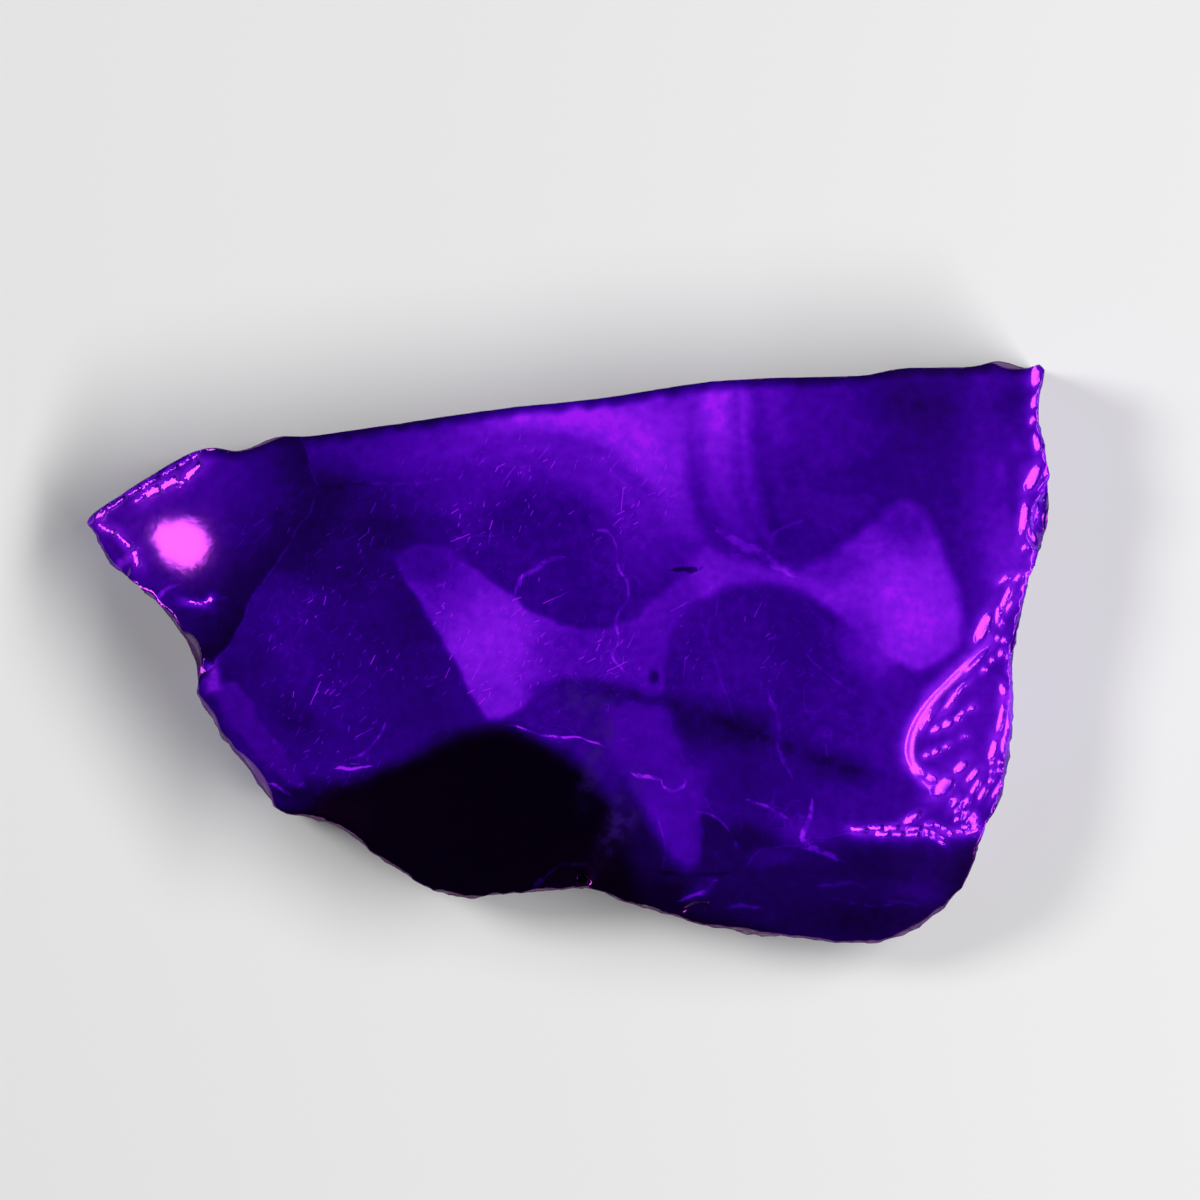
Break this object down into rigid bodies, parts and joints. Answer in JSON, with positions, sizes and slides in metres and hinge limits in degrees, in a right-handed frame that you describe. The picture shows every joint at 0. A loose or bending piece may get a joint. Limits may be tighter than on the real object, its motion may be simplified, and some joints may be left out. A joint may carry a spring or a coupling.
{
  "type": "agate slice",
  "caption": "Broken piece of a sawn agate slice: flat banded face, one straight sawn edge, pointed rounded end, shell-shaped chips round its rim.",
  "frame": {"origin": "middle of the bounding box on the flat sawn back, which is the underside", "axes": "+X along the slice's length away from its pointed end, +Y towards its straight sawn edge, +Z out of its front face"},
  "size_m": [0.0651, 0.0392, 0.009],
  "materials": {
    "agate": "polished"
  },
  "bodies": {
    "root": {"agate_slice": "agate"}
  },
  "joints": []
}
